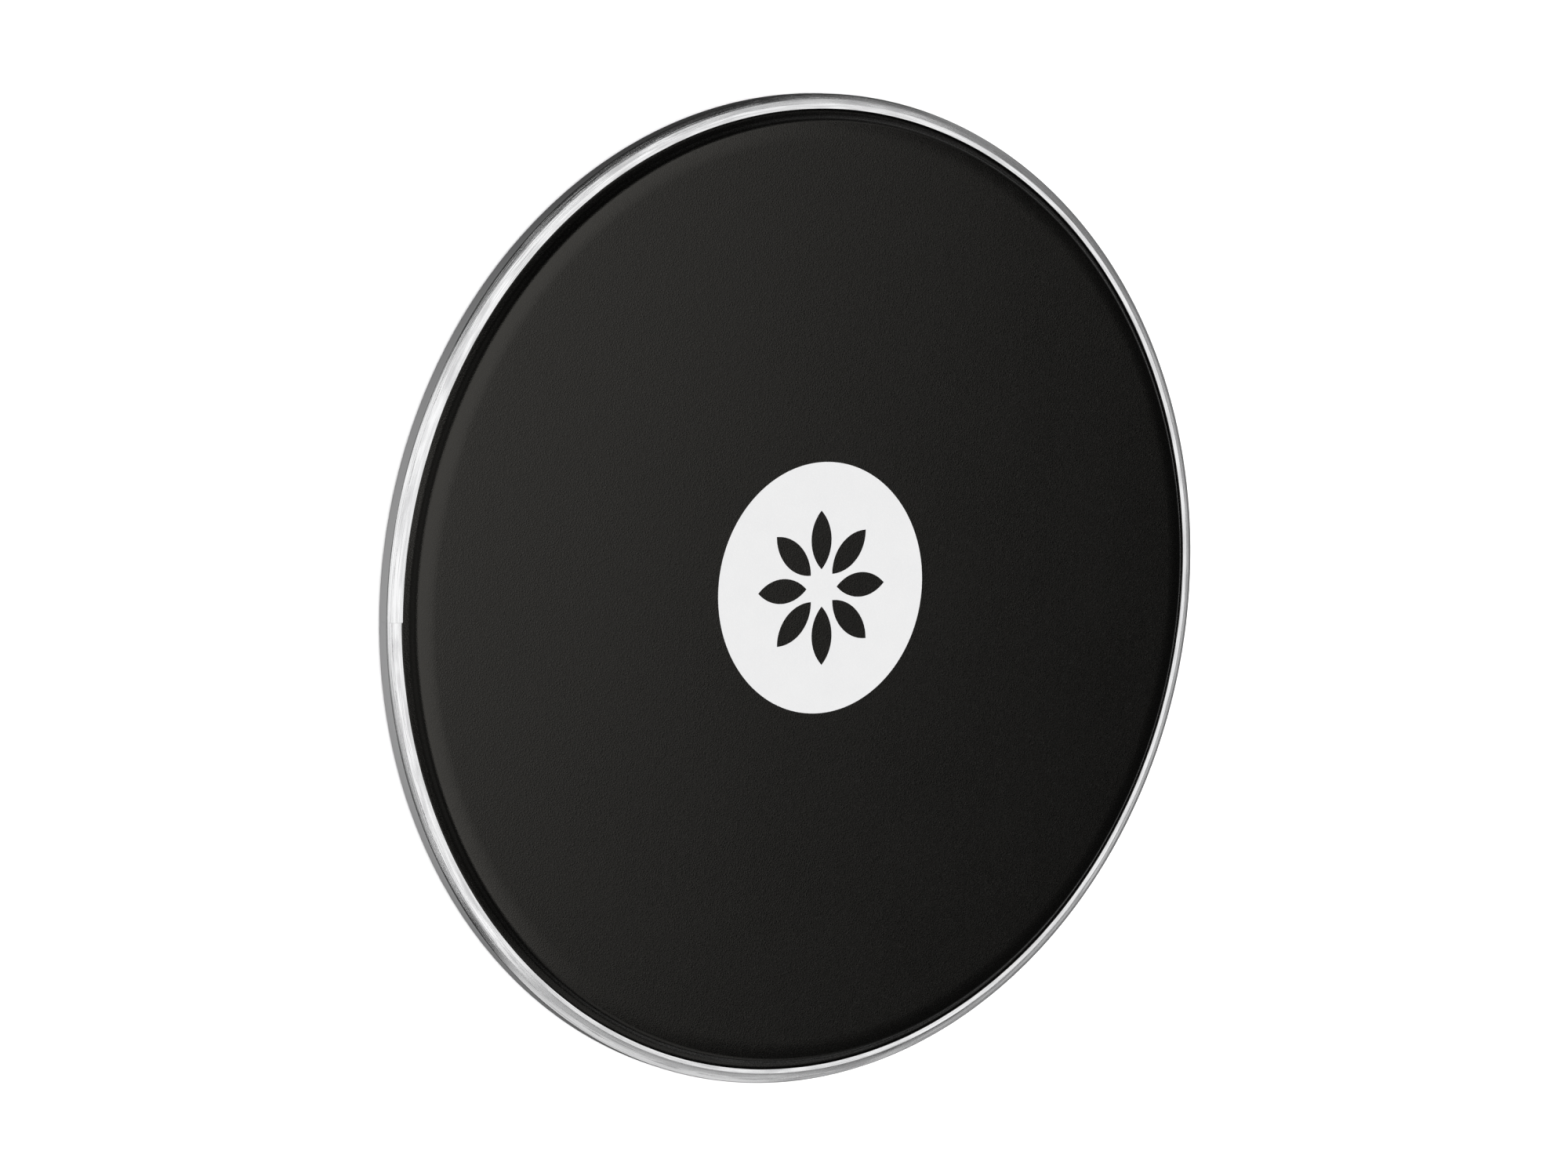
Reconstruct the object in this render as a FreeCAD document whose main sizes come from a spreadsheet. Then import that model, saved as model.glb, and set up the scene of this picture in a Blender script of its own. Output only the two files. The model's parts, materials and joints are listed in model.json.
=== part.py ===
import FreeCAD, Part
import Sketcher
import math
import os

# A head for a 12 in hand drum: a thin laminated skin whose rim is folded into a roll-formed
# aluminium hoop. Millimetres, +Z towards the playing side, origin at the centre of the hoop's
# underside, +Y towards the top of the printed badge.
#
# A section through the rim, from the drum's axis outwards:
#   the skin is flat over the shell, falls away in a shallow sweep, bends over a shoulder, runs
#   down as a steep collar and on along a narrow ledge;
#   it passes under the hoop's lip, down inside the channel, under a wire and up again;
#   the wire can't leave through the lip's slot, so the skin holds when the drum is tuned;
#   a bead of adhesive on the channel's floor bonds the fold;
#   the hoop's roof slopes down both ways from a ridge, steeply outwards to the wall and, as a
#   nearly level curl, inwards to the lip.

# Driving dimensions: alias, value, what it is.
SIZES = [
    ("shell_radius", 152.4, "outside radius of the drum shell, 12 in across"),
    ("shell_gap", 2.6, "from the shell to the hoop's inner wall"),
    ("hoop_width", 4.9, "hoop, inner wall face to outer wall face"),
    ("hoop_height", 6.45, "hoop, underside to ridge, before the ridge is rounded"),
    ("hoop_wall", 0.8, "thickness of the aluminium strip"),
    ("hoop_foot_radius", 0.8, "the two lower outside corners of the channel"),
    ("hoop_brow_radius", 0.5, "outer upper corner of the channel"),
    ("inner_wall_height", 4.05, "top of the inner wall"),
    ("roof_angle", 29.2, "slope of the roof, from the ridge down to the outer wall, in degrees"),
    ("roof_camber", 0.15, "crease along the middle of the roof, above a straight slope"),
    ("roof_radius", 3.0, "rounding of the crease"),
    ("ridge_setback", 1.5, "the ridge, outward of the lip's edge, which stands above the inner wall"),
    ("ridge_radius", 1.0, "rounding of the ridge"),
    ("curl_angle", 2.0, "slope of the curl, from the ridge down to the lip's edge, in degrees"),
    ("lip_edge_break", 0.15, "rounding of the lip's cut edge"),
    ("edge_break", 0.3, "rounding of the inner wall's edge and the inner corners"),
    ("joint_gap", 0.05, "between the butted ends of the hoop"),
    ("joint_azimuth", 179.0, "place of the hoop's joint, in degrees from +X"),
    ("film_thickness", 0.25, "polyester base film"),
    ("facing_thickness", 0.15, "grained facing"),
    ("play_height", 9.65, "joint line of film and facing over the playing area"),
    ("sweep_start", 147.7, "where the playing area begins to fall away, radius before rounding"),
    ("sweep_angle", 10.0, "how steeply it falls there, in degrees"),
    ("sweep_radius", 26.0, "bend from the playing area into that fall"),
    ("shoulder_radius", 2.5, "bend from there into the collar"),
    ("collar_angle", 60.0, "slope of the collar, in degrees"),
    ("toe_radius", 152.9, "foot of the collar, radius before rounding"),
    ("toe_height", 6.85, "foot of the collar, height before rounding"),
    ("toe_bend", 3.0, "bend from the collar into the ledge"),
    ("slot_radius", 155.7, "where the ledge passes under the lip, radius"),
    ("slot_height", 4.65, "where the ledge passes under the lip, height"),
    ("throat_radius", 0.6, "bend from the ledge into the channel"),
    ("film_clearance", 0.1, "base film to the channel's inner wall"),
    ("fold_height", 1.6, "joint line at the bottom of the fold"),
    ("fold_radius", 0.9, "joint line at the fold's two corners"),
    ("tail_height", 3.7, "end of the skin inside the channel"),
    ("wire_radius", 0.8, "locking wire"),
    ("wire_clearance", 0.03, "locking wire to the facing"),
    ("wire_gap", 1.5, "between the ends of the locking wire"),
    ("bead_clearance", 0.05, "adhesive to its neighbours"),
    ("badge_radius", 40.6, "printed badge"),
    ("badge_up", 2.0, "the badge's middle, towards +Y of the drum's axis"),
    ("badge_thickness", 0.05, "ink"),
    ("petal_count", 8, "petals left open in the ink"),
    ("petal_start", 6.0, "inner tip of a petal"),
    ("petal_end", 25.0, "outer tip of a petal"),
    ("petal_half_width", 4.0, "half of a petal's greatest width"),
]

# Lengths that several outlines share, worked out from the cells.
BORE = "(Sizes.shell_radius + Sizes.shell_gap)"
OUTSIDE = f"({BORE} + Sizes.hoop_width)"
WALL = "Sizes.hoop_wall"
RIDGE = f"({BORE} + Sizes.ridge_setback)"
LIP_HEIGHT = "(Sizes.hoop_height - Sizes.ridge_setback * tan(Sizes.curl_angle * 1 deg))"
BROW_HEIGHT = f"(Sizes.hoop_height - ({OUTSIDE} - {RIDGE}) * tan(Sizes.roof_angle * 1 deg))"
BEND = "cos((Sizes.curl_angle + Sizes.roof_angle) / 2 * 1 deg)"
LEAN = "((Sizes.curl_angle - Sizes.roof_angle) / 2 * 1 deg)"
COLLAR_SLOPE = "tan(Sizes.collar_angle * 1 deg)"
LEDGE_SLOPE = "(Sizes.toe_height - Sizes.slot_height) / (Sizes.slot_radius - Sizes.toe_radius)"
SWEEP_SLOPE = "tan(Sizes.sweep_angle * 1 deg)"
FOLD_INNER = f"({BORE} + {WALL} + Sizes.film_clearance + Sizes.film_thickness)"
FOLD_REACH = "(Sizes.wire_radius + Sizes.facing_thickness + Sizes.wire_clearance)"
FOLD_OUTER = f"({FOLD_INNER} + 2 * {FOLD_REACH})"

doc = FreeCAD.newDocument("DrumHead")
sheet = doc.addObject("Spreadsheet::Sheet", "Sizes")
for line, (alias, value, meaning) in enumerate(SIZES, start=1):
    sheet.set(f"A{line}", alias)
    sheet.set(f"B{line}", str(value))
    sheet.set(f"C{line}", meaning)
    sheet.setAlias(f"B{line}", alias)
doc.recompute()


def number(expression):
    """The value of an expression over the sheet's cells."""
    value = sheet.evalExpression(expression)
    return float(getattr(value, "Value", value))


def origin_plane(body, role):
    return next(f for f in body.Origin.OriginFeatures if f.Role == role)


def new_body(label):
    body = doc.addObject("PartDesign::Body", label)
    body.Label = label
    return body


def body_sketch(body, name, role):
    """An empty sketch on one of the body's own origin planes."""
    sketch = body.newObject("Sketcher::SketchObject", name)
    sketch.AttachmentSupport = [(origin_plane(body, role), "")]
    sketch.MapMode = "FlatFace"
    return sketch


def section_sketch(name):
    """An empty sketch in the plane of radius (its x) and height (its y), outside any body."""
    sketch = doc.addObject("Sketcher::SketchObject", name)
    sketch.Placement.Rotation = FreeCAD.Rotation(FreeCAD.Vector(1, 0, 0), 90)
    return sketch


def bind(sketch, kind, arguments, expression):
    """Adds a dimension with the cells' value and ties it to them."""
    row = sketch.addConstraint(Sketcher.Constraint(kind, *arguments, number(expression)))
    sketch.setExpression(f"Constraints[{row}]", expression)


def pin_point(sketch, element, end, x, y):
    """Holds a point of the sketch at expressions x and y, measured from the sketch's origin."""
    bind(sketch, "DistanceX", (-1, 1, element, end), x)
    bind(sketch, "DistanceY", (-1, 1, element, end), y)


def draw(sketch, corners, closed=True):
    """Draws straight runs through the corners (x, y, radius or None), rounded where a radius is given.

    A sharp corner is the shared end of two runs. A rounded one is a construction point that both
    runs aim at, with an arc tangent to both.
    """
    count = len(corners)
    spots = [FreeCAD.Vector(number(x), number(y), 0) for x, y, _ in corners]
    starts, ends, rounds = list(spots), list(spots), {}
    for i, (_, _, radius) in enumerate(corners):
        if radius is None:
            continue
        towards = (spots[i - 1] - spots[i]).normalize()
        onwards = (spots[(i + 1) % count] - spots[i]).normalize()
        half = towards.getAngle(onwards) / 2
        reach = number(radius) / math.tan(half)
        middle = (towards + onwards).normalize() * (number(radius) / math.sin(half))
        inwards = middle * (1 - number(radius) / middle.Length)
        ends[i] = spots[i] + towards * reach
        starts[i] = spots[i] + onwards * reach
        rounds[i] = Part.Arc(ends[i], spots[i] + inwards, starts[i])
    runs = {}
    for i in range(count if closed else count - 1):
        run = Part.LineSegment(starts[i], ends[(i + 1) % count])
        runs[i] = sketch.addGeometry(run, False)
    for i, (x, y, radius) in enumerate(corners):
        before, after = runs.get((i - 1) % count), runs.get(i)
        if radius is None:
            if before is not None and after is not None:
                sketch.addConstraint(Sketcher.Constraint("Coincident", before, 2, after, 1))
            pin_point(sketch, *((before, 2) if after is None else (after, 1)), x, y)
            continue
        arc = sketch.addGeometry(rounds[i], False)
        # The sketcher stores an arc counter-clockwise, so its first point may be the later one.
        in_order = sketch.getPoint(arc, 1).isEqual(ends[i], 1e-6)
        first, last = (1, 2) if in_order else (2, 1)
        sketch.addConstraint(Sketcher.Constraint("Tangent", before, 2, arc, first))
        sketch.addConstraint(Sketcher.Constraint("Tangent", arc, last, after, 1))
        corner = sketch.addGeometry(Part.Point(spots[i]), True)
        sketch.addConstraint(Sketcher.Constraint("PointOnObject", corner, 1, before))
        sketch.addConstraint(Sketcher.Constraint("PointOnObject", corner, 1, after))
        bind(sketch, "Radius", (arc,), radius)
        pin_point(sketch, corner, 1, x, y)


def revolve(body, sketch, angle):
    """Turns a section of the body about the drum's axis, through an expression in degrees."""
    turn = body.newObject("PartDesign::Revolution", "Turn")
    turn.Profile = sketch
    turn.ReferenceAxis = (sketch, ["V_Axis"])
    turn.setExpression("Angle", angle)
    return turn


def gap_angle(gap, radius):
    """The expression for the angle in degrees that a gap takes at a radius."""
    return f"({gap} / {radius} * 180 / pi)"


def flesh_hoop():
    """The channel, bent into a circle from one strip, with its ends butted at the joint."""
    body = new_body("flesh_hoop")
    section = body_sketch(body, "HoopSection", "XZ_Plane")
    rounded = "Sizes.edge_break"
    draw(section, [
        (OUTSIDE, "0", "Sizes.hoop_foot_radius"),
        (OUTSIDE, BROW_HEIGHT, "Sizes.hoop_brow_radius"),
        (f"({OUTSIDE} + {RIDGE}) / 2",
         f"({BROW_HEIGHT} + Sizes.hoop_height) / 2 + Sizes.roof_camber", "Sizes.roof_radius"),
        (RIDGE, "Sizes.hoop_height", "Sizes.ridge_radius"),
        (BORE, LIP_HEIGHT, "Sizes.lip_edge_break"),
        (f"{BORE} + {WALL} * sin(Sizes.curl_angle * 1 deg)",
         f"{LIP_HEIGHT} - {WALL} * cos(Sizes.curl_angle * 1 deg)", "Sizes.lip_edge_break"),
        (f"{RIDGE} + {WALL} * sin{LEAN} / {BEND}",
         f"Sizes.hoop_height - {WALL} * cos{LEAN} / {BEND}", "Sizes.lip_edge_break"),
        (f"{OUTSIDE} - {WALL}",
         f"{BROW_HEIGHT} - {WALL} * tan((90 - Sizes.roof_angle) / 2 * 1 deg)", rounded),
        (f"{OUTSIDE} - {WALL}", WALL, rounded),
        (f"{BORE} + {WALL}", WALL, rounded),
        (f"{BORE} + {WALL}", "Sizes.inner_wall_height", rounded),
        (BORE, "Sizes.inner_wall_height", rounded),
        (BORE, "0", "Sizes.hoop_foot_radius"),
    ])
    revolve(body, section, "360 - " + gap_angle("Sizes.joint_gap", OUTSIDE))
    body.Placement.Rotation = FreeCAD.Rotation(FreeCAD.Vector(0, 0, 1), 1)
    body.setExpression("Placement.Rotation.Angle", "Sizes.joint_azimuth")
    return body


def skin_section():
    """The joint line of film and facing: playing area, sweep, collar, ledge, fold, tail."""
    # The sweep's line and the collar's line meet at the shoulder.
    collar_at_axis = f"(Sizes.toe_height + Sizes.toe_radius * {COLLAR_SLOPE})"
    sweep_at_axis = f"(Sizes.play_height + Sizes.sweep_start * {SWEEP_SLOPE})"
    shoulder = f"({collar_at_axis} - {sweep_at_axis}) / ({COLLAR_SLOPE} - {SWEEP_SLOPE})"
    line = section_sketch("SkinSection")
    draw(line, [
        ("0", "Sizes.play_height", None),
        ("Sizes.sweep_start", "Sizes.play_height", "Sizes.sweep_radius"),
        (shoulder, f"{sweep_at_axis} - {shoulder} * {SWEEP_SLOPE}", "Sizes.shoulder_radius"),
        ("Sizes.toe_radius", "Sizes.toe_height", "Sizes.toe_bend"),
        (FOLD_INNER, f"Sizes.slot_height - ({FOLD_INNER} - Sizes.slot_radius) * {LEDGE_SLOPE}",
         "Sizes.throat_radius"),
        (FOLD_INNER, "Sizes.fold_height", "Sizes.fold_radius"),
        (FOLD_OUTER, "Sizes.fold_height", "Sizes.fold_radius"),
        (FOLD_OUTER, "Sizes.tail_height", None),
    ], closed=False)
    return line


def skin_ply(label, line, thickness):
    """One ply of the skin: a strip on one side of the joint line, turned about the drum's axis."""
    strip = doc.addObject("Part::Offset2D", label + "_strip")
    strip.Source = line
    strip.Mode = "Skin"
    strip.Fill = True
    strip.setExpression("Value", thickness)
    ply = doc.addObject("Part::Revolution", label)
    ply.Label = label
    ply.Source = strip
    ply.Axis = FreeCAD.Vector(0, 0, 1)
    ply.Angle = 360
    ply.Solid = True
    return ply


def locking_wire():
    """A ring of steel wire, cut with a gap, that lies in the fold."""
    wire = doc.addObject("Part::Torus", "locking_wire")
    wire.Label = "locking_wire"
    middle = f"({FOLD_INNER} + {FOLD_REACH})"
    wire.setExpression("Radius1", middle)
    wire.setExpression("Radius2", "Sizes.wire_radius")
    wire.setExpression("Angle3", "360 - " + gap_angle("Sizes.wire_gap", middle))
    wire.setExpression("Placement.Base.z", f"Sizes.fold_height + {FOLD_REACH}")
    return wire


def bonding_bead():
    """The adhesive: a flat ring between the channel's floor and the bottom of the fold."""
    body = new_body("bonding_bead")
    section = body_sketch(body, "BeadSection", "XZ_Plane")
    inner = f"{BORE} + {WALL} + Sizes.bead_clearance"
    outer = f"{OUTSIDE} - {WALL} - Sizes.bead_clearance"
    floor = f"{WALL} + Sizes.bead_clearance"
    top = "Sizes.fold_height - Sizes.film_thickness - Sizes.bead_clearance"
    corner = "Sizes.edge_break - 2 * Sizes.bead_clearance"
    draw(section, [
        (inner, floor, corner),
        (outer, floor, corner),
        (outer, top, corner),
        (inner, top, corner),
    ])
    revolve(body, section, "360")
    return body


def printed_badge():
    """A disc of ink on the facing, with a rosette of petals left unprinted."""
    body = new_body("printed_badge")
    base = "Sizes.play_height + Sizes.facing_thickness"
    disc = body_sketch(body, "BadgeDisc", "XY_Plane")
    disc.setExpression("AttachmentOffset.Base.z", base)
    centre, upwards = FreeCAD.Vector(0, 0, 0), FreeCAD.Vector(0, 0, 1)
    circle = disc.addGeometry(Part.Circle(centre, upwards, number("Sizes.badge_radius")))
    disc.addConstraint(Sketcher.Constraint("Coincident", circle, 3, -1, 1))
    bind(disc, "Radius", (circle,), "Sizes.badge_radius")
    ink = body.newObject("PartDesign::Pad", "Ink")
    ink.Profile = disc
    ink.setExpression("Length", "Sizes.badge_thickness")
    doc.recompute()

    petal = body_sketch(body, "BadgePetal", "XY_Plane")
    petal.setExpression("AttachmentOffset.Base.z", base)
    near = FreeCAD.Vector(number("Sizes.petal_start"), 0, 0)
    far = FreeCAD.Vector(number("Sizes.petal_end"), 0, 0)
    side = FreeCAD.Vector(0, number("Sizes.petal_half_width"), 0)
    half_length = "((Sizes.petal_end - Sizes.petal_start) / 2)"
    radius = f"({half_length}^2 + Sizes.petal_half_width^2) / (2 * Sizes.petal_half_width)"
    upper = petal.addGeometry(Part.Arc(near, (near + far) / 2 + side, far))
    lower = petal.addGeometry(Part.Arc(near, (near + far) / 2 - side, far))
    # The upper arc runs from far to near, the lower one from near to far.
    petal.addConstraint(Sketcher.Constraint("Coincident", upper, 2, lower, 1))
    petal.addConstraint(Sketcher.Constraint("Coincident", upper, 1, lower, 2))
    pin_point(petal, lower, 1, "Sizes.petal_start", "0")
    pin_point(petal, lower, 2, "Sizes.petal_end", "0")
    bind(petal, "Radius", (upper,), radius)
    bind(petal, "Radius", (lower,), radius)
    opening = body.newObject("PartDesign::Pocket", "Petal")
    opening.Profile = petal
    opening.Midplane = True
    opening.setExpression("Length", "4 * Sizes.badge_thickness")
    rosette = body.newObject("PartDesign::PolarPattern", "Rosette")
    rosette.Originals = [opening]
    rosette.Axis = (disc, ["N_Axis"])
    rosette.Angle = 360
    rosette.setExpression("Occurrences", "Sizes.petal_count")
    body.Tip = rosette
    body.setExpression("Placement.Base.y", "Sizes.badge_up")
    return body


def check_and_write(parts):
    """Stops on any failed object or bad shape, then writes one STEP file for each sub-part."""
    doc.recompute()
    failed = [o.Name for o in doc.Objects if {"Invalid", "Error"} & set(o.State)]
    if failed:
        raise RuntimeError(f"these objects failed: {failed}")
    for part in parts:
        if part.Shape.isNull() or not part.Shape.isValid() or part.Shape.Volume <= 0:
            raise RuntimeError(f"{part.Label} has no valid solid")
    os.makedirs("parts", exist_ok=True)
    for part in parts:
        part.Shape.exportStep(f"parts/{part.Label}.step")
        box = part.Shape.BoundBox
        print(f"{part.Label}: {len(part.Shape.Solids)} solid, {part.Shape.Volume:.0f} mm3,"
              f" z {box.ZMin:.2f} to {box.ZMax:.2f}, x to {box.XMax:.2f}")


joint_line = skin_section()
check_and_write([
    flesh_hoop(),
    skin_ply("base_film", joint_line, "-Sizes.film_thickness"),
    skin_ply("napa_facing", joint_line, "Sizes.facing_thickness"),
    locking_wire(),
    bonding_bead(),
    printed_badge(),
])
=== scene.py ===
import json
import math

import bmesh
import bpy
import numpy as np
from mathutils import Matrix, Vector, noise


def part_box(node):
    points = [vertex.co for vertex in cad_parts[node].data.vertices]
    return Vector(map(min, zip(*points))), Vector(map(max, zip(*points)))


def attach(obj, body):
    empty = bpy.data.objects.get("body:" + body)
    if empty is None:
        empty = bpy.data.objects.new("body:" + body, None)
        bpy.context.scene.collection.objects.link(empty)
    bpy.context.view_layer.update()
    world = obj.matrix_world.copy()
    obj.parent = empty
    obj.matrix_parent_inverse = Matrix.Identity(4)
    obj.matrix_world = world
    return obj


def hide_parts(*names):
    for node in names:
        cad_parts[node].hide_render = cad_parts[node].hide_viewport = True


# A loose head for a hand drum: a black skin with a napa grain, folded into an aluminium flesh hoop,
# with a white badge printed in the middle. Lengths are in millimetres until a mesh is written.

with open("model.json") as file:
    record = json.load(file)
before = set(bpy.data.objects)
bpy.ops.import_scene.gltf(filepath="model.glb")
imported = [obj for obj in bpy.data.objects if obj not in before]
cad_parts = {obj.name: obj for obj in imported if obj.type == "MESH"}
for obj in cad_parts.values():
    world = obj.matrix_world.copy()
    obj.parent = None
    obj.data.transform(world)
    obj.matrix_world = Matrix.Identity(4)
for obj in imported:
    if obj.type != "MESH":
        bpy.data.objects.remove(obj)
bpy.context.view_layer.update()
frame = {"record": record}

MM = 0.001
FULL_TURN = 2 * math.pi
ON_AXIS = 1e-6  # a radius up to this counts as none
SHARP = math.radians(50)  # edges that turn by more stay sharp
HOOP_SEGMENTS, SKIN_SEGMENTS, RING_SEGMENTS = 960, 720, 480  # facets around each lathed piece

# ---------------------------------------------------------------- dimensions, from the CAD frame

mounts = {mount["name"]: mount for mount in frame["record"]["mounts"]}
BORE = mounts["shell_seat"]["dims"]["r_mm"]
OUTSIDE = mounts["hoop_outside"]["dims"]["r_mm"]
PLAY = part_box("base_film")[1].z / MM  # the playing area's height, between its two plies
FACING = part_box("napa_facing")[1].z / MM - PLAY
FILM = 0.25  # the film's thickness
FOLD_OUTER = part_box("base_film")[1].x / MM - FILM
FOLD_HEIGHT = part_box("base_film")[0].z / MM + FILM
WIRE_RADIUS = (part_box("locking_wire")[1].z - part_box("locking_wire")[0].z) / MM / 2
WIRE_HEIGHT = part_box("locking_wire")[0].z / MM + WIRE_RADIUS
WIRE_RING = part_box("locking_wire")[1].x / MM - WIRE_RADIUS
FOLD_INNER = 2 * WIRE_RING - FOLD_OUTER
JOINT = math.radians(179)  # the hoop's butt joint, from +X
LOWEST = math.radians(330)  # where the rolled lip hangs lowest

WALL = 0.8  # the strip's thickness
INNER_WALL_TOP = 4.05
RIDGE, RIDGE_HEIGHT = BORE + 1.5, 6.45  # the hoop's ridge, before it is rounded
ROOF_SLOPE = math.radians(29.2)  # from the ridge out to the wall
CURL_SLOPE = math.radians(2)  # from the ridge in to the lip
LIP_HEIGHT = RIDGE_HEIGHT - (RIDGE - BORE) * math.tan(CURL_SLOPE)
BROW_HEIGHT = RIDGE_HEIGHT - (OUTSIDE - RIDGE) * math.tan(ROOF_SLOPE)
CREASE, CREASE_HEIGHT = (OUTSIDE + RIDGE) / 2, (BROW_HEIGHT + RIDGE_HEIGHT) / 2 + 0.15


# ---------------------------------------------------------------- outlines and meshes

def rounded(corners, closed=True, arc_step=math.radians(7), longest=0.6):
    """Points (r, z) along straight runs through corners (r, z, radius), each corner rounded."""
    count = len(corners)
    spots = [Vector(corner[:2]) for corner in corners]
    path = []
    for i, (_, _, radius) in enumerate(corners):
        if not radius:
            path.append(spots[i])
            continue
        back = (spots[i - 1] - spots[i]).normalized()
        ahead = (spots[(i + 1) % count] - spots[i]).normalized()
        half = back.angle(ahead) / 2
        middle = spots[i] + (back + ahead).normalized() * (radius / math.sin(half))
        first = spots[i] + back * (radius / math.tan(half)) - middle
        last = spots[i] + ahead * (radius / math.tan(half)) - middle
        turn = -first.angle_signed(last)
        steps = max(2, math.ceil(abs(turn) / arc_step))
        path += [middle + Matrix.Rotation(turn * k / steps, 2) @ first for k in range(steps + 1)]
    if closed:
        path.append(path[0])
    fine = [path[0]]
    for a, b in zip(path, path[1:]):
        parts = max(1, math.ceil((b - a).length / longest))
        fine += [a.lerp(b, k / parts) for k in range(1, parts + 1)]
    return fine[:-1] if closed else fine


def beside(path, distance):
    """The path moved sideways, to its left as it runs, by a distance that may be negative."""
    moved = []
    for i, spot in enumerate(path):
        ahead = path[min(i + 1, len(path) - 1)] - path[max(i - 1, 0)]
        left = Vector((-ahead.y, ahead.x)).normalized()
        moved.append(spot + left * distance)
    return moved


def ply(path, low, high):
    """The outline of a layer between two lines beside a path that starts on the drum's axis."""
    return beside(path, high) + beside(path, low)[::-1]


def new_piece(name, mesh, slot, material, *nodes):
    """Puts a mesh in the scene as a piece that stands for the CAD nodes."""
    piece = bpy.data.objects.new(name, mesh)
    bpy.context.scene.collection.objects.link(piece)
    mesh.materials.append(material)
    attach(piece, "root")
    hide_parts(*nodes)
    return piece


def lathe(name, outline, segments, start=0.0, sweep=FULL_TURN, wander=None):
    """A mesh turned about the drum's axis from a closed outline of points (r, z).

    A point on the axis becomes one vertex. A sweep under a full turn gets two end faces.
    wander(azimuth, r, z) gives the small shift (outward, up) of each vertex.
    """
    whole = sweep > FULL_TURN - 1e-9
    turns = segments if whole else segments + 1
    work = bmesh.new()
    rows = []
    for r, z in outline:
        row = []
        for i in range(turns):
            azimuth = start + sweep * i / segments
            out, lift = wander(azimuth, r, z) if wander and r > ON_AXIS else (0.0, 0.0)
            spot = Vector(((r + out) * math.cos(azimuth), (r + out) * math.sin(azimuth), z + lift))
            row.append(work.verts.new(spot * MM))
            if r <= ON_AXIS:
                row *= turns
                break
        rows.append(row)
    on_axis = [r <= ON_AXIS for r, _ in outline]
    for j in range(len(outline)):
        k = (j + 1) % len(outline)
        if on_axis[j] and on_axis[k]:
            continue
        for i in range(segments):
            n = (i + 1) % turns
            ring = [rows[j][i], rows[j][n], rows[k][n], rows[k][i]]
            work.faces.new(list(dict.fromkeys(ring)))
    if not whole:
        work.faces.new([row[0] for row in rows])
        work.faces.new([row[-1] for row in rows])
    bmesh.ops.recalc_face_normals(work, faces=work.faces)
    mesh = bpy.data.meshes.new(name)
    work.to_mesh(mesh)
    work.free()
    mesh.shade_smooth()
    mesh.set_sharp_from_angle(angle=SHARP)
    return mesh


def ease(low, high, x):
    """0 below low, 1 above high, smooth between."""
    share = min(max((x - low) / (high - low), 0.0), 1.0)
    return share * share * (3 - 2 * share)


def ripple(azimuth, wavelength, seed):
    """Smooth noise from about -1 to 1 along the rim, with the wavelength in millimetres."""
    reach = BORE / wavelength
    return noise.noise(Vector((math.cos(azimuth) * reach, math.sin(azimuth) * reach, seed)))


# ---------------------------------------------------------------- shader helpers

class Nodes:
    """A node tree, with short calls for the nodes used here."""

    def __init__(self, tree):
        self.tree = tree

    def node(self, kind, inputs=(), **settings):
        """A new node, with its inputs set or linked and its settings applied."""
        made = self.tree.nodes.new(kind)
        for key, value in settings.items():
            setattr(made, key, value)
        for key, value in dict(inputs).items():
            self.feed(made.inputs[key], value)
        return made

    def feed(self, socket, value):
        """Links another socket to this one, or sets its value."""
        if isinstance(value, bpy.types.NodeSocket):
            self.tree.links.new(value, socket)
        else:
            socket.default_value = value

    def math(self, operation, a, b=0.0):
        return self.node("ShaderNodeMath", {0: a, 1: b}, operation=operation).outputs[0]

    def plus(self, a, b):
        return self.math("ADD", a, b)

    def times(self, a, b):
        return self.math("MULTIPLY", a, b)

    def vector(self, operation, a, b=(0, 0, 0)):
        """Vector maths: a number for a length or a dot product, else a vector."""
        made = self.node("ShaderNodeVectorMath", {0: a, 1: b}, operation=operation)
        return made.outputs["Value" if operation in {"LENGTH", "DOT_PRODUCT"} else "Vector"]

    def noise(self, place, scale, detail=2.0, roughness=0.5):
        inputs = {"Vector": place, "Scale": scale, "Detail": detail, "Roughness": roughness}
        return self.node("ShaderNodeTexNoise", inputs).outputs["Fac"]

    def between(self, value, low, high, to_low=0.0, to_high=1.0):
        """Maps low..high smoothly to to_low..to_high, and holds it there outside."""
        inputs = {"Value": value, "From Min": low, "From Max": high}
        inputs.update({"To Min": to_low, "To Max": to_high})
        made = self.node("ShaderNodeMapRange", inputs, interpolation_type="SMOOTHSTEP")
        return made.outputs["Result"]

    def mix(self, share, a, b):
        """A plain number between a and b."""
        made = self.node("ShaderNodeMix", {0: share, 2: a, 3: b}, data_type="FLOAT")
        return made.outputs[0]

    def combine(self, x, y, z):
        return self.node("ShaderNodeCombineXYZ", {0: x, 1: y, 2: z}).outputs[0]

    def tint(self, share, a, b):
        """A colour between a and b."""
        made = self.node("ShaderNodeMix", {0: share, 6: (*a, 1), 7: (*b, 1)}, data_type="RGBA")
        return made.outputs[2]


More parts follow.
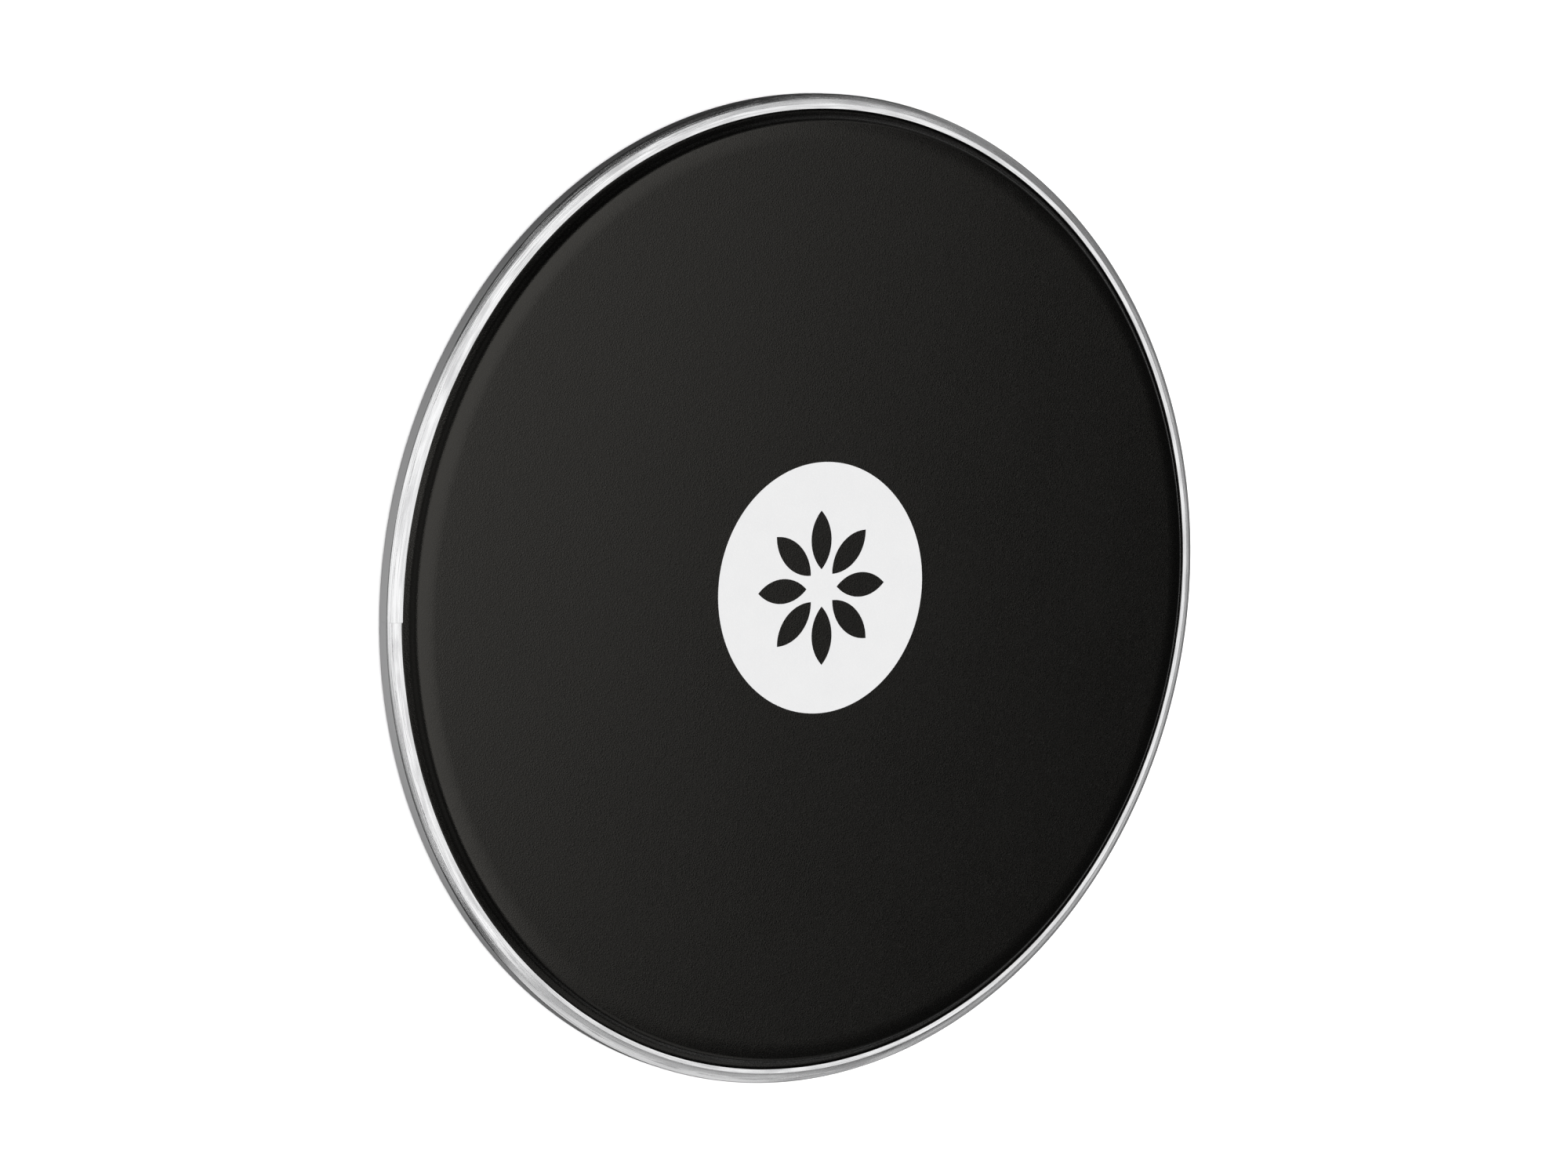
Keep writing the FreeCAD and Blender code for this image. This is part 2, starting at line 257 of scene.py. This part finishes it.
class Shader(Nodes):
    """A new material's node tree and its surface."""

    def __init__(self, name):
        self.material = bpy.data.materials.new(name)
        self.material.use_nodes = True
        super().__init__(self.material.node_tree)
        self.surface = self.tree.nodes["Principled BSDF"]

    def set(self, **values):
        """Sets or links the surface's sockets, named with underscores for spaces."""
        for key, value in values.items():
            self.feed(self.surface.inputs[key.replace("_", " ")], value)

    def millimetres(self):
        """The place on the object, in millimetres."""
        place = self.node("ShaderNodeTexCoord").outputs["Object"]
        return self.vector("MULTIPLY", place, (1 / MM, 1 / MM, 1 / MM))

    def bump(self, height, depth_mm, below=None):
        """A bump whose height runs from 0 to 1 over the given depth."""
        inputs = {"Height": height, "Distance": depth_mm * MM}
        if below is not None:
            inputs["Normal"] = below
        return self.node("ShaderNodeBump", inputs).outputs["Normal"]

    def ring_place(self):
        """(length along the hoop, r, z) in millimetres, with the seam at the hoop's joint."""
        place = self.millimetres()
        turn = self.node("ShaderNodeVectorRotate", {"Vector": place, "Angle": math.pi - JOINT},
                         rotation_type="Z_AXIS").outputs[0]
        x, y, z = self.node("ShaderNodeSeparateXYZ", {0: turn}).outputs
        along = self.times(self.math("ARCTAN2", y, x), RIDGE)
        radius = self.vector("LENGTH", self.combine(x, y, 0.0))
        return along, radius, z


# ---------------------------------------------------------------- materials

def rolled_aluminium():
    """Aluminium strip, rolled into a channel: lengthwise lines, worn patches, a rough crease."""
    shader = Shader("rolled_aluminium")
    along, radius, height = shader.ring_place()

    def lines(length, width, detail=2.0):
        """Noise drawn out along the hoop, as rollers leave it: a patch's length and width in mm."""
        place = shader.combine(shader.math("DIVIDE", along, length), shader.math("DIVIDE", radius, width),
                               shader.math("DIVIDE", height, width))
        return shader.noise(place, 1.0, detail)

    # chatter: speckled roller marks in a ragged band along the crease
    roof = shader.between(height, BROW_HEIGHT - 0.6, BROW_HEIGHT)
    from_crease = shader.math("ABSOLUTE", shader.math("SUBTRACT", radius, CREASE + 0.25))
    band_edge = shader.plus(from_crease, shader.times(lines(12.0, 3.0), 0.9))
    band = shader.times(roof, shader.between(band_edge, 0.35, 0.6, 1.0, 0.0))
    speckle = shader.noise(shader.combine(along, shader.times(radius, 1.6), height), 2.6, 3.0, 0.7)
    chatter = shader.times(band, shader.between(speckle, 0.42, 0.58))

    # fine scratches, broad drawing lines, and worn patches on the roof's inner part
    scratches = shader.between(lines(24.0, 0.16, 3.0), 0.52, 0.7)
    drawn = lines(60.0, 0.5, 3.0)
    patches = shader.between(lines(14.0, 1.6, 3.0), 0.35, 0.7)
    inner = shader.between(radius, CREASE + 0.2, CREASE + 0.6, 1.0, 0.2)
    worn = shader.times(shader.times(roof, inner), patches)

    roughness = shader.plus(shader.mix(roof, 0.26, 0.15), shader.times(drawn, 0.08))
    roughness = shader.plus(roughness, shader.times(worn, 0.12))
    roughness = shader.plus(roughness, shader.times(chatter, 0.12))
    shader.set(Metallic=1.0, Roughness=roughness)
    marks = shader.times(shader.times(scratches, roof), 0.75)
    grime = shader.math("MAXIMUM", shader.times(chatter, 0.6), marks)
    grime = shader.math("MAXIMUM", grime, shader.times(worn, 0.42))
    shader.set(Base_Color=shader.tint(grime, (0.84, 0.84, 0.845), (0.42, 0.42, 0.43)))
    normal = shader.bump(drawn, 0.01)
    normal = shader.bump(scratches, -0.006, normal)
    normal = shader.bump(chatter, -0.02, normal)
    shader.set(Normal=normal)
    return shader.material


def napa_grain(shader, place):
    """(height, pebbles), each 0 to 1, of a fine leather grain: small pebbles parted by creases."""
    shaken = shader.node("ShaderNodeTexNoise",
                         {"Vector": place, "Scale": 0.9, "Detail": 2.0}).outputs["Color"]
    bent = shader.vector("ADD", place, shader.vector("MULTIPLY", shaken, (0.9, 0.9, 0.9)))
    creases = shader.node("ShaderNodeTexVoronoi", {"Vector": bent, "Scale": 1.35},
                          feature="DISTANCE_TO_EDGE").outputs["Distance"]
    pebbles = shader.between(creases, 0.0, 0.28)
    fine = shader.noise(place, 4.5, 3.0, 0.6)
    broad = shader.noise(place, 0.35, 2.0)
    height = shader.plus(shader.times(pebbles, 0.6), shader.times(fine, 0.4))
    return shader.times(height, shader.between(broad, 0.3, 0.7, 0.75, 1.0)), pebbles


def black_napa():
    """Black grained facing, satin, with glossier pebbles and a slightly warm reflection."""
    shader = Shader("black_napa")
    place = shader.millimetres()
    height, pebbles = napa_grain(shader, place)
    blotches = shader.noise(place, 0.03, 3.0)
    roughness = shader.plus(shader.mix(pebbles, 0.28, 0.22), shader.times(blotches, 0.06))
    shader.set(Base_Color=shader.tint(pebbles, (0.0002, 0.0002, 0.0002), (0.0006, 0.0006, 0.0006)))
    shader.set(Roughness=roughness)
    shader.set(Specular_IOR_Level=0.54, Specular_Tint=(1.0, 0.962, 0.89, 1))
    shader.set(Normal=shader.bump(height, 0.028))
    return shader.material


def black_film():
    """The film's underside: satin black, with a fine texture, hazy patches and dust."""
    shader = Shader("black_film")
    place = shader.millimetres()
    peel = shader.noise(place, 0.5, 3.0)
    haze = shader.between(shader.noise(place, 0.02, 4.0, 0.6), 0.4, 0.7)
    dust = shader.between(shader.noise(place, 3.0, 2.0), 0.72, 0.8)
    shader.set(Roughness=shader.plus(shader.mix(haze, 0.24, 0.36), shader.times(dust, 0.2)))
    shader.set(Base_Color=shader.tint(dust, (0.012, 0.012, 0.013), (0.06, 0.06, 0.06)))
    shader.set(Normal=shader.bump(peel, 0.02))
    return shader.material


def white_ink():
    """Screen-printed white ink, thin enough for the grain under it to show."""
    shader = Shader("white_ink")
    place = shader.millimetres()
    height, pebbles = napa_grain(shader, place)
    creases = shader.math("SUBTRACT", 1.0, pebbles)
    mottle = shader.plus(shader.times(shader.noise(place, 0.12, 4.0), 0.7), shader.times(creases, 0.3))
    shader.set(Base_Color=shader.tint(mottle, (0.468, 0.468, 0.468), (0.43, 0.43, 0.434)))
    shader.set(Roughness=shader.mix(pebbles, 0.6, 0.5))
    shader.set(Normal=shader.bump(height, 0.016))
    return shader.material


def drawn_steel():
    """The wire: dull steel with lines along its length."""
    shader = Shader("drawn_steel")
    place = shader.millimetres()
    drawn = shader.noise(shader.vector("MULTIPLY", place, (1.0, 1.0, 8.0)), 1.5, 3.0)
    shader.set(Metallic=1.0, Roughness=shader.mix(drawn, 0.25, 0.45))
    shader.set(Base_Color=shader.tint(drawn, (0.5, 0.5, 0.51), (0.62, 0.62, 0.63)))
    shader.set(Normal=shader.bump(drawn, 0.01))
    return shader.material


def cured_resin():
    """The adhesive: tan, uneven, half glossy."""
    shader = Shader("cured_resin")
    place = shader.millimetres()
    lumps = shader.noise(place, 0.8, 3.0)
    shader.set(Base_Color=shader.tint(lumps, (0.28, 0.23, 0.15), (0.42, 0.36, 0.26)))
    shader.set(Roughness=shader.mix(lumps, 0.3, 0.5), Normal=shader.bump(lumps, 0.05))
    return shader.material


# ---------------------------------------------------------------- pieces

def hoop_wander(azimuth, r, z):
    """How the rolled-over top strays from its ideal section, most at the lip and at the joint.

    One end of the strip stands back from the other at the joint and eases out along the hoop.
    """
    top = ease(LIP_HEIGHT - 1.2, LIP_HEIGHT, z)
    lip = top * ease(CREASE, BORE + 0.2, r)
    roof = top * ease(OUTSIDE - 0.2, CREASE, r)
    past_joint = (azimuth - JOINT) % FULL_TURN * RIDGE
    before_joint = (JOINT - azimuth) % FULL_TURN * RIDGE
    setback, overrun = 0.4, 0.04
    drawn_back = setback * math.exp(-past_joint / 45) - overrun * math.exp(-before_joint / 12)
    waver = 0.05 * (1 + ripple(azimuth, 16, 3.1)) + 0.03 * (1 + ripple(azimuth, 6, 9.4))
    out = lip * (waver + drawn_back)
    droop = 0.09 * (1 + math.cos(azimuth - LOWEST)) + 0.02 * (1 + ripple(azimuth, 11, 1.3))
    lift = -roof * 0.03 * (1 + ripple(azimuth, 30, 7.7)) - lip * droop
    return out, lift


def flesh_hoop():
    """The channel, as an outline from the foot up the wall, over the roof and back inside."""
    bend, lean = (CURL_SLOPE + ROOF_SLOPE) / 2, (CURL_SLOPE - ROOF_SLOPE) / 2
    brow_radius, crease_radius, ridge_radius, cut_edge, inside_bend = 0.5, 3.0, 1.0, 0.15, 0.3
    outline = rounded([
        (OUTSIDE, 0, WALL),
        (OUTSIDE, BROW_HEIGHT, brow_radius),
        (CREASE, CREASE_HEIGHT, crease_radius),
        (RIDGE, RIDGE_HEIGHT, ridge_radius),
        (BORE, LIP_HEIGHT, cut_edge),
        (BORE + WALL * math.sin(CURL_SLOPE), LIP_HEIGHT - WALL * math.cos(CURL_SLOPE), cut_edge),
        (RIDGE + WALL * math.sin(lean) / math.cos(bend),
         RIDGE_HEIGHT - WALL * math.cos(lean) / math.cos(bend), cut_edge),
        (OUTSIDE - WALL, BROW_HEIGHT - WALL * math.tan((math.pi / 2 - ROOF_SLOPE) / 2), inside_bend),
        (OUTSIDE - WALL, WALL, inside_bend),
        (BORE + WALL, WALL, inside_bend),
        (BORE + WALL, INNER_WALL_TOP, inside_bend),
        (BORE, INNER_WALL_TOP, inside_bend),
        (BORE, 0, WALL),
    ], arc_step=math.radians(12), longest=0.5)
    joint_gap = 0.03 / OUTSIDE
    mesh = lathe("flesh_hoop_rolled", outline, HOOP_SEGMENTS, JOINT, FULL_TURN - joint_gap, hoop_wander)
    return new_piece("flesh_hoop_rolled", mesh, "hoop_aluminium", rolled_aluminium(), "flesh_hoop")


def skin_path():
    """The joint line of the skin's two plies, from the axis over the collar into the fold."""
    sweep_start, sweep_slope = 147.7, math.tan(math.radians(10))
    toe, collar_slope = Vector((152.9, 6.85)), math.tan(math.radians(60))
    slot = Vector((155.7, 4.65))
    ledge_slope = (toe.y - slot.y) / (slot.x - toe.x)
    collar_at_axis = toe.y + toe.x * collar_slope
    sweep_at_axis = PLAY + sweep_start * sweep_slope
    shoulder = (collar_at_axis - sweep_at_axis) / (collar_slope - sweep_slope)
    sweep_bend, shoulder_bend, toe_bend, slot_bend, fold_bend = 26, 2.5, 3, 0.6, 0.9
    cut_height = 3.7
    return rounded([
        (0, PLAY, 0),
        (sweep_start, PLAY, sweep_bend),
        (shoulder, sweep_at_axis - shoulder * sweep_slope, shoulder_bend),
        (*toe, toe_bend),
        (FOLD_INNER, slot.y - (FOLD_INNER - slot.x) * ledge_slope, slot_bend),
        (FOLD_INNER, FOLD_HEIGHT, fold_bend),
        (FOLD_OUTER, FOLD_HEIGHT, fold_bend),
        (FOLD_OUTER, cut_height, 0),
    ], closed=False, arc_step=math.radians(1.5), longest=4.0)


def skin_wander(azimuth, r, z):
    """The playing area isn't drawn tight on a loose head, so it rolls by a few hundredths."""
    free = ease(50, 110, r) * ease(155.0, 150.0, r)
    return 0.0, -0.03 * free * (1 + ripple(azimuth, 90, r / 40))


def skin():
    """The facing above the joint line and the film below it."""
    path = skin_path()
    facing = lathe("napa_facing_grained", ply(path, 0, FACING), SKIN_SEGMENTS, wander=skin_wander)
    new_piece("napa_facing_grained", facing, "facing_napa", black_napa(), "napa_facing")
    film = lathe("base_film_underside", ply(path, -FILM, 0), SKIN_SEGMENTS, wander=skin_wander)
    new_piece("base_film_underside", film, "film_polyester", black_film(), "base_film")


def locking_wire():
    """A round wire bent into a ring, its ends 1.5 mm apart."""
    section = [(WIRE_RING + WIRE_RADIUS * math.cos(a), WIRE_HEIGHT + WIRE_RADIUS * math.sin(a))
               for a in np.linspace(0, FULL_TURN, 24, endpoint=False)]
    end_gap = 1.5 / WIRE_RING
    mesh = lathe("locking_wire_ring", section, RING_SEGMENTS, 0, FULL_TURN - end_gap)
    new_piece("locking_wire_ring", mesh, "wire_steel", drawn_steel(), "locking_wire")


def bonding_bead():
    """A flat bead of adhesive on the channel's floor."""
    low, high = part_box("bonding_bead")
    clearance, corner_radius = 0.05, 0.2
    inner, outer = BORE + WALL + clearance, high.x / MM
    bottom, top = low.z / MM, high.z / MM
    corners = [(inner, bottom), (outer, bottom), (outer, top), (inner, top)]
    outline = rounded([(*corner, corner_radius) for corner in corners], arc_step=math.radians(20))
    mesh = lathe("bonding_bead_ring", outline, RING_SEGMENTS)
    new_piece("bonding_bead_ring", mesh, "bead_resin", cured_resin(), "bonding_bead")


def petal_outline():
    """Points (x, y) in metres round one petal along +X: two arcs that meet in points."""
    start, end, half_width = 6.0 * MM, 25.0 * MM, 4.0 * MM
    half_length = (end - start) / 2
    radius = (half_length ** 2 + half_width ** 2) / (2 * half_width)
    spread = math.asin(half_length / radius)
    side = [Vector((start + half_length + radius * math.sin(a), radius * math.cos(a) - radius + half_width))
            for a in np.linspace(-spread, spread, 24)]
    return side + [Vector((p.x, -p.y)) for p in side[-2:0:-1]]


def filled_outline(name, rings, middle, thickness, edge):
    """A flat plate with softened edges, from closed rings of points (x, y); inner rings are holes."""
    outline = bpy.data.curves.new(name, "CURVE")
    outline.dimensions = "2D"
    outline.fill_mode = "BOTH"
    outline.extrude = thickness / 2 - edge
    outline.bevel_depth = edge
    outline.offset = -edge
    for ring in rings:
        line = outline.splines.new("POLY")
        line.points.add(len(ring) - 1)
        for spot, (x, y) in zip(line.points, ring):
            spot.co = (x, y, 0, 1)
        line.use_cyclic_u = True
    holder = bpy.data.objects.new(name, outline)
    bpy.context.scene.collection.objects.link(holder)
    bpy.context.view_layer.update()
    mesh = bpy.data.meshes.new_from_object(holder.evaluated_get(bpy.context.evaluated_depsgraph_get()))
    bpy.data.objects.remove(holder)
    mesh.transform(Matrix.Translation(middle))
    work = bmesh.new()
    work.from_mesh(mesh)
    bmesh.ops.remove_doubles(work, verts=work.verts, dist=1e-7)
    bmesh.ops.recalc_face_normals(work, faces=work.faces)
    work.to_mesh(mesh)
    work.free()
    mesh.name = name
    mesh.materials.clear()
    return mesh


def printed_badge():
    """The ink: a disc with a rosette of open petals."""
    low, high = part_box("printed_badge")
    reach = (high.x - low.x) / 2
    around = np.linspace(0, FULL_TURN, 288, endpoint=False)
    rings = [[(reach * math.cos(a), reach * math.sin(a)) for a in around]]
    petals = 8
    for petal in range(petals):
        turn = Matrix.Rotation(petal * FULL_TURN / petals, 2)
        rings.append([turn @ p for p in petal_outline()])
    mesh = filled_outline("badge_ink", rings, (low + high) / 2, high.z - low.z, 0.008 * MM)
    new_piece("badge_ink", mesh, "badge_ink", white_ink(), "printed_badge")


# ---------------------------------------------------------------- stage

def aim(thing, place, target, up):
    """Stands a camera or a lamp at a place, looking at a target."""
    ahead = (target - place).normalized()
    right = ahead.cross(up).normalized()
    axes = Matrix((right, right.cross(ahead), -ahead)).transposed().to_4x4()
    thing.matrix_world = Matrix.Translation(place) @ axes


def camera():
    """The photograph's viewing angle, with the drum's +Y upwards in the picture."""
    data = bpy.data.cameras.new("camera")
    data.lens = 114.37
    data.sensor_width = 36
    data.clip_start = 0.01
    made = bpy.data.objects.new("camera", data)
    bpy.context.scene.collection.objects.link(made)
    place, target = Vector((-0.9393, 0.2073, 1.2879)), Vector((-0.0121, 0.0025, 0.006))
    aim(made, place, target, Vector((0, 1, 0)))
    bpy.context.scene.camera = made


def softbox(name, place, width, height, radiance, in_gloss=True, only=None):
    """A soft rectangular lamp, in metres, that looks at the origin and may light only one piece."""
    data = bpy.data.lights.new(name, "AREA")
    data.shape = "RECTANGLE"
    data.size = width
    data.size_y = height
    data.energy = radiance * math.pi * width * height
    made = bpy.data.objects.new(name, data)
    bpy.context.scene.collection.objects.link(made)
    made.visible_glossy = in_gloss
    if only is not None:
        lit = bpy.data.collections.new(name)
        lit.objects.link(only)
        made.light_linking.receiver_collection = lit
    aim(made, Vector(place), Vector((0, 0, 0)), Vector((0, 1, 0)))


def canopy(name, corners, height, radiance):
    """A level glowing sheet over the object, with corners (x, y) in metres, unseen by the camera."""
    mesh = bpy.data.meshes.new(name)
    mesh.from_pydata([(x, y, height) for x, y in corners], [], [list(range(len(corners)))])
    glow = Shader(name)
    glow.set(Base_Color=(0, 0, 0, 1), Roughness=1.0)
    glow.set(Emission_Color=(1, 1, 1, 1), Emission_Strength=radiance)
    mesh.materials.append(glow.material)
    sheet = bpy.data.objects.new(name, mesh)
    bpy.context.scene.collection.objects.link(sheet)
    sheet.visible_camera = False
    sheet.visible_shadow = False


def studio():
    """The room that the glosses see: dark above and to +X, paler below and to -X."""
    world = bpy.data.worlds.new("studio")
    world.use_nodes = True
    room = Nodes(world.node_tree)
    ahead = room.node("ShaderNodeTexCoord").outputs["Generated"]
    x, _, z = room.node("ShaderNodeSeparateXYZ", {0: ahead}).outputs
    below = room.between(room.vector("DOT_PRODUCT", ahead, (-0.95, -0.3, 0)), -0.6, 0.9, 0.03, 0.45)
    pale_end = room.between(x, -0.9, -0.3, 0.3, 0.03)
    band = room.math("ADD", pale_end, room.between(x, 0.3, 0.9, 0.0, 0.16))
    above = room.between(x, -1.0, -0.4, 0.18, 0.015)
    shade = room.mix(room.between(z, -0.6, -0.3), below, band)
    shade = room.mix(room.between(z, -0.04, 0.1), shade, above)
    background = world.node_tree.nodes["Background"]
    room.feed(background.inputs["Strength"], shade)
    background.inputs["Color"].default_value = (1, 1, 1, 1)
    bpy.context.scene.world = world


def floor():
    """A plain pale floor just under the object, left out of its reflections."""
    reach, height = 4.0, -0.0002
    corners = [(-reach, -reach), (reach, -reach), (reach, reach), (-reach, reach)]
    mesh = bpy.data.meshes.new("floor")
    mesh.from_pydata([(x, y, height) for x, y in corners], [], [(0, 1, 2, 3)])
    made = bpy.data.objects.new("floor", mesh)
    bpy.context.scene.collection.objects.link(made)
    paint = Shader("floor_paint")
    paint.set(Base_Color=(0.93, 0.93, 0.93, 1), Roughness=1.0)
    mesh.materials.append(paint.material)
    made.visible_glossy = False


def stage(hoop):
    """The floor, the room and the lamps. Four of the lamps light only the hoop.

    The overhead sheet's outline decides where the long reflections on the hoop and skin end.
    """
    floor()
    studio()
    overhead = [(0, -2.0), (0.45, -1.25), (1.05, -0.6), (1.4, 0.1), (1.4, 2.1), (0.3, 2.1),
                (-0.9, 1.35), (-2.5, 0.75), (-1.45, -0.9), (-1.1, -2.0)]
    canopy("overhead", overhead, height=2.0, radiance=1.15)
    softbox("high_y", (1.2, 1.25, 1.0), 0.9, 0.5, 0.6)
    softbox("low_y", (0.35, -2.0, 0.8), 1.8, 1.0, 0.45)
    softbox("fill", (0, 0, 2.6), 6.0, 6.0, 3.2, in_gloss=False)
    softbox("hoop_high", (1.9, 0.2, 2.0), 1.4, 3.0, 1.0, only=hoop)
    softbox("hoop_low", (2.2, -1.0, 0.4), 0.8, 3.2, 0.58, only=hoop)
    softbox("hoop_near", (0.5, -1.8, 1.15), 1.9, 1.9, 0.32, only=hoop)
    softbox("hoop_side", (2.15, 0.95, 0.45), 0.8, 1.3, 0.25, only=hoop)


bpy.context.scene.view_settings.view_transform = "Standard"
camera()
stage(flesh_hoop())
skin()
locking_wire()
bonding_bead()
printed_badge()
